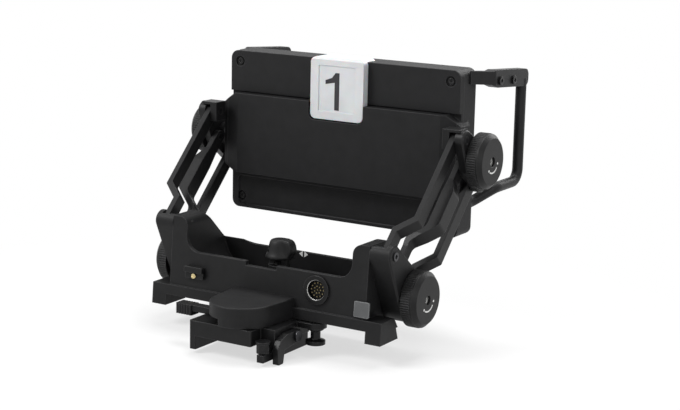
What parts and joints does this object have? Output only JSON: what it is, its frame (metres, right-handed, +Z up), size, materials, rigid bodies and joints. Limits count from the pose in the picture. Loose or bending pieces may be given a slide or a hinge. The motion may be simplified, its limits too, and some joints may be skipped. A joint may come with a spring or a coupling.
{
  "type": "electronic viewfinder",
  "caption": "Black electronic viewfinder for a studio camera: flat screen head with side handles on a parallelogram lifting arm, panning base and camera clamp",
  "frame": {"origin": "centre of the underside of the clamp block's web, where it seats on the camera", "axes": "+Z up, +Y towards the operator who looks at the screen, X across the screen, with the tally side facing -Y"},
  "size_m": [0.2876, 0.271, 0.2239],
  "materials": {
    "base_paint": "fine-textured black paint on cast aluminium",
    "head_paint": "fine-textured charcoal paint on die-cast aluminium",
    "arm_paint": "satin black paint",
    "handle_paint": "satin black paint on aluminium",
    "clamp_finish": "satin black anodised",
    "turned_black": "black anodised, turned and knurled",
    "pin_steel": "blackened steel",
    "bright_steel": "bright zinc",
    "knob_plastic": "matte black with knurled rim",
    "control_plastic": "matte black",
    "button_plastic": "dark grey",
    "tally_white": "white translucent",
    "tally_red": "red translucent",
    "board": "solder mask",
    "bezel_plastic": "fine texture",
    "panel": "flat",
    "screen_glass": "anti-glare",
    "cover_sheet": "black anodised sheet",
    "pad_grey": "light grey",
    "clamp_plastic": "matte black",
    "contact_gold": "gold plated"
  },
  "bodies": {
    "clamp": {"clamp_block": "clamp_finish", "pan_spindle": "pin_steel", "release_pin": "pin_steel"},
    "release_lever": {"release_lever": "clamp_finish"},
    "plunger_knob": {"plunger_knob": "turned_black"},
    "thumb_screw": {"thumb_screw": "turned_black"},
    "base": {"base_casting": "base_paint", "bottom_cover": "cover_sheet", "pan_housing": "base_paint", "link_plate_left": "base_paint", "link_plate_right": "base_paint", "lower_pivot_pins": "pin_steel", "rear_pivot_shafts": "pin_steel", "lower_knob_screws": "bright_steel", "connector_shell": "bright_steel", "connector_insert": "control_plastic", "connector_pins": "contact_gold", "cover_plate": "pad_grey", "cable_clamp": "clamp_plastic", "cable_clamp_screw": "bright_steel"},
    "centre_lock": {"centre_lock_knob": "control_plastic"},
    "pan_lever": {"pan_lever": "control_plastic"},
    "lower_knob_left": {"lower_knob_left": "knob_plastic"},
    "lower_knob_right": {"lower_knob_right": "knob_plastic"},
    "front_links": {"front_link_left": "arm_paint", "front_link_right": "arm_paint"},
    "middle_links": {"middle_link_left": "arm_paint", "middle_link_right": "arm_paint"},
    "rear_links": {"rear_link_left": "arm_paint", "rear_link_right": "arm_paint"},
    "coupler": {"coupler_left": "arm_paint", "coupler_right": "arm_paint", "upper_pivot_pins": "pin_steel"},
    "upper_knob_left": {"upper_knob_left": "knob_plastic"},
    "upper_knob_right": {"upper_knob_right": "knob_plastic"},
    "head": {"head_frame": "head_paint", "front_cover": "head_paint", "cover_screws": "pin_steel", "tally_cover": "tally_white", "tally_lamp_board": "board", "tilt_ear_left": "head_paint", "tilt_ear_right": "head_paint", "tilt_shafts": "pin_steel", "upper_knob_screws": "bright_steel", "rear_bezel": "bezel_plastic", "display_panel": "panel", "screen_window": "screen_glass", "main_board": "board", "operator_tally_window": "tally_red", "handle_rod_left": "handle_paint", "handle_rod_right": "handle_paint", "handle_bar_left": "handle_paint", "handle_bar_right": "handle_paint", "handle_screws": "pin_steel"},
    "brightness_dial": {"brightness_dial": "control_plastic"},
    "contrast_dial": {"contrast_dial": "control_plastic"},
    "peaking_dial": {"peaking_dial": "control_plastic"},
    "peaking_button": {"peaking_button": "button_plastic"},
    "marker_button": {"marker_button": "button_plastic"},
    "toggle_switch": {"toggle_switch": "control_plastic"}
  },
  "joints": [
    {"name": "pan", "type": "hinge", "parent": "clamp", "child": "base", "pos_m": [0, -0.009, 0.013], "axis": [0, 0, 1], "range_deg": [-30, 30]},
    {"name": "lift", "type": "hinge", "parent": "base", "child": "rear_links", "pos_m": [0, 0.0626, 0.0337], "axis": [1, 0, 0], "range_deg": [-30, 25]},
    {"name": "front_link_swing", "type": "hinge", "parent": "base", "child": "front_links", "pos_m": [0, 0.0323, 0.073], "axis": [1, 0, 0], "range_deg": [-30, 25]},
    {"name": "middle_link_swing", "type": "hinge", "parent": "base", "child": "middle_links", "pos_m": [0, 0.0414, 0.0489], "axis": [1, 0, 0], "range_deg": [-30, 25]},
    {"name": "coupler_swing", "type": "hinge", "parent": "rear_links", "child": "coupler", "pos_m": [0, 0.14462, 0.11572], "axis": [1, 0, 0], "range_deg": [-25, 30]},
    {"name": "tilt", "type": "hinge", "parent": "coupler", "child": "head", "pos_m": [0, 0.13452, 0.13602], "axis": [1, 0, 0], "range_deg": [-30, 10]},
    {"name": "lower_left_friction_knob", "type": "hinge", "parent": "base", "child": "lower_knob_left", "pos_m": [-0.1144, 0.0626, 0.0337], "axis": [1, 0, 0], "range_deg": [-180, 180]},
    {"name": "lower_right_friction_knob", "type": "hinge", "parent": "base", "child": "lower_knob_right", "pos_m": [0.1144, 0.0626, 0.0337], "axis": [1, 0, 0], "range_deg": [-180, 180]},
    {"name": "upper_left_friction_knob", "type": "hinge", "parent": "coupler", "child": "upper_knob_left", "pos_m": [-0.1308, 0.13452, 0.13602], "axis": [1, 0, 0], "range_deg": [-180, 180]},
    {"name": "upper_right_friction_knob", "type": "hinge", "parent": "coupler", "child": "upper_knob_right", "pos_m": [0.1308, 0.13452, 0.13602], "axis": [1, 0, 0], "range_deg": [-180, 180]},
    {"name": "centre_lock_turn", "type": "hinge", "parent": "base", "child": "centre_lock", "pos_m": [0, 0.042, 0.054], "axis": [0, 0, 1], "range_deg": [-60, 60]},
    {"name": "pan_lock", "type": "hinge", "parent": "base", "child": "pan_lever", "pos_m": [0, -0.009, 0.0133], "axis": [0, 0, 1], "range_deg": [0, 50]},
    {"name": "release_swing", "type": "hinge", "parent": "clamp", "child": "release_lever", "pos_m": [0.0363, 0.006, 0.0035], "axis": [1, 0, 0], "range_deg": [0, 15]},
    {"name": "plunger_pull", "type": "slide", "parent": "clamp", "child": "plunger_knob", "axis": [0, 0, -1], "range_m": [0, 0.004], "stiffness_N_per_m": 400},
    {"name": "thumb_screw_turn", "type": "hinge", "parent": "clamp", "child": "thumb_screw", "pos_m": [0.0305, -0.026, 0], "axis": [0, 0, 1], "range_deg": [-180, 180]},
    {"name": "brightness_turn", "type": "hinge", "parent": "head", "child": "brightness_dial", "pos_m": [-0.07, 0.178, 0.08485], "axis": [0, 1, 0], "range_deg": [-140, 140]},
    {"name": "contrast_turn", "type": "hinge", "parent": "head", "child": "contrast_dial", "pos_m": [-0.046, 0.178, 0.08485], "axis": [0, 1, 0], "range_deg": [-140, 140]},
    {"name": "peaking_turn", "type": "hinge", "parent": "head", "child": "peaking_dial", "pos_m": [-0.022, 0.178, 0.08485], "axis": [0, 1, 0], "range_deg": [-140, 140]},
    {"name": "peaking_press", "type": "slide", "parent": "head", "child": "peaking_button", "axis": [0, -1, 0], "range_m": [0, 0.0012], "stiffness_N_per_m": 250},
    {"name": "marker_press", "type": "slide", "parent": "head", "child": "marker_button", "axis": [0, -1, 0], "range_m": [0, 0.0012], "stiffness_N_per_m": 250},
    {"name": "toggle_flip", "type": "hinge", "parent": "head", "child": "toggle_switch", "pos_m": [0.046, 0.175, 0.08485], "axis": [1, 0, 0], "range_deg": [-12, 12]}
  ],
  "couplings": [
    {"joint": "front_link_swing", "follows": "lift", "ratio": 1},
    {"joint": "middle_link_swing", "follows": "lift", "ratio": 1},
    {"joint": "coupler_swing", "follows": "lift", "ratio": -1}
  ]
}
